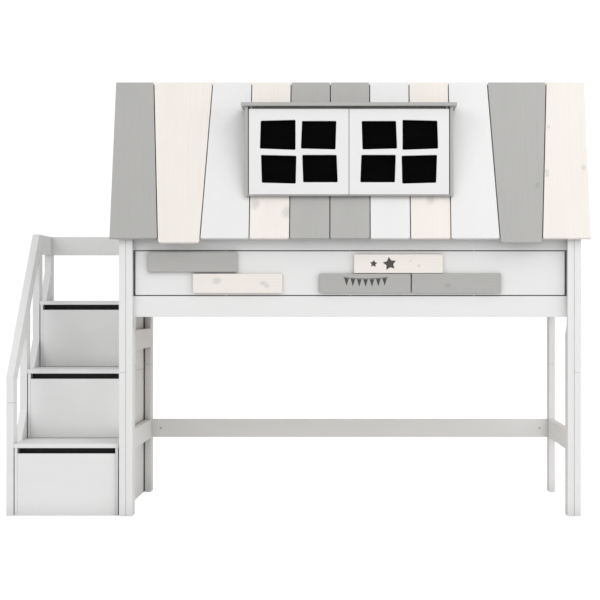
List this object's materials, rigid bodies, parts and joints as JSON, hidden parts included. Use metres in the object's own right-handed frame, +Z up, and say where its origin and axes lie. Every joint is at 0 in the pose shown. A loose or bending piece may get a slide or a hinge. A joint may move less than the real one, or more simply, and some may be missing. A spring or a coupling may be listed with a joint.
{
  "type": "loft bed",
  "caption": "Mid-height children's loft bed with a plank play-hut roof, a dormer window with two opening leaves, and a drawer staircase with a guard.",
  "frame": {"origin": "middle of the whole object's footprint, bed and staircase together, at floor level", "axes": "+X along the bed from the staircase towards its other end, +Y from the roofed front to the back, +Z up"},
  "size_m": [2.616, 1.0656, 1.9688],
  "materials": {
    "white_lacquer": "white satin lacquer on pine",
    "grey_lacquer": "light grey satin lacquer on pine",
    "whitewashed_pine": "whitewashed knotty pine",
    "bare_spruce": "bare planed spruce",
    "white_plastic": "moulded white plastic",
    "black_board": "matt black painted board",
    "black_plastic": "moulded black plastic",
    "zinc_steel": "zinc-plated steel"
  },
  "bodies": {
    "root": {"leg_extensions": "white_lacquer", "corner_posts": "white_lacquer", "inner_posts": "white_lacquer", "side_rails": "white_lacquer", "guard_rail_front": "white_lacquer", "guard_rails_rear": "white_lacquer", "stretcher_rear": "white_lacquer", "end_rails": "white_lacquer", "end_guards": "white_lacquer", "entry_post": "white_lacquer", "front_panel": "white_lacquer", "panel_dowels": "white_plastic", "panel_backing": "white_lacquer", "plank_1": "grey_lacquer", "plank_2": "whitewashed_pine", "plank_3": "grey_lacquer", "plank_4": "whitewashed_pine", "plank_5": "grey_lacquer", "slat_ledgers": "bare_spruce", "slats": "bare_spruce", "bolts": "zinc_steel", "barrel_nuts": "zinc_steel", "floor_glides": "black_plastic", "roof_battens": "white_lacquer", "roof_rafters": "white_lacquer", "dormer_cheeks": "grey_lacquer", "dormer_cap": "grey_lacquer", "dormer_sill": "grey_lacquer", "window_frame": "grey_lacquer", "window_pivots": "zinc_steel", "stair_posts": "white_lacquer", "handrail": "white_lacquer", "stair_stringer": "white_lacquer", "platform_rails": "white_lacquer", "stair_treads": "white_lacquer", "stair_side_panels": "white_lacquer", "stair_back_panel": "white_lacquer", "grip_rails": "black_plastic", "drawer_runners": "bare_spruce", "roof_board_01": "grey_lacquer", "roof_board_02": "whitewashed_pine", "roof_board_03": "white_lacquer", "roof_board_04": "whitewashed_pine", "roof_board_05": "grey_lacquer", "roof_board_06": "grey_lacquer", "roof_board_07": "white_lacquer", "roof_board_08": "whitewashed_pine", "roof_board_09": "white_lacquer", "roof_board_10": "grey_lacquer", "roof_board_11": "whitewashed_pine"},
    "window_leaf_left": {"sash_left": "white_lacquer", "pane_left": "black_board"},
    "window_leaf_right": {"sash_right": "white_lacquer", "pane_right": "black_board"},
    "drawer_1": {"drawer_front_1": "white_lacquer", "drawer_box_1": "bare_spruce"},
    "drawer_2": {"drawer_front_2": "white_lacquer", "drawer_box_2": "bare_spruce"},
    "drawer_3": {"drawer_front_3": "white_lacquer", "drawer_box_3": "bare_spruce"}
  },
  "joints": [
    {"name": "window_leaf_left_swing", "type": "hinge", "parent": "root", "child": "window_leaf_left", "pos_m": [-0.207, -0.48219, 1.638], "axis": [0, 0, -1], "range_deg": [0, 100]},
    {"name": "window_leaf_right_swing", "type": "hinge", "parent": "root", "child": "window_leaf_right", "pos_m": [0.67, -0.48219, 1.638], "axis": [0, 0, 1], "range_deg": [0, 100]},
    {"name": "drawer_1_slide", "type": "slide", "parent": "root", "child": "drawer_1", "axis": [0, -1, 0], "range_m": [0, 0.4]},
    {"name": "drawer_2_slide", "type": "slide", "parent": "root", "child": "drawer_2", "axis": [0, -1, 0], "range_m": [0, 0.4]},
    {"name": "drawer_3_slide", "type": "slide", "parent": "root", "child": "drawer_3", "axis": [0, -1, 0], "range_m": [0, 0.2]}
  ]
}
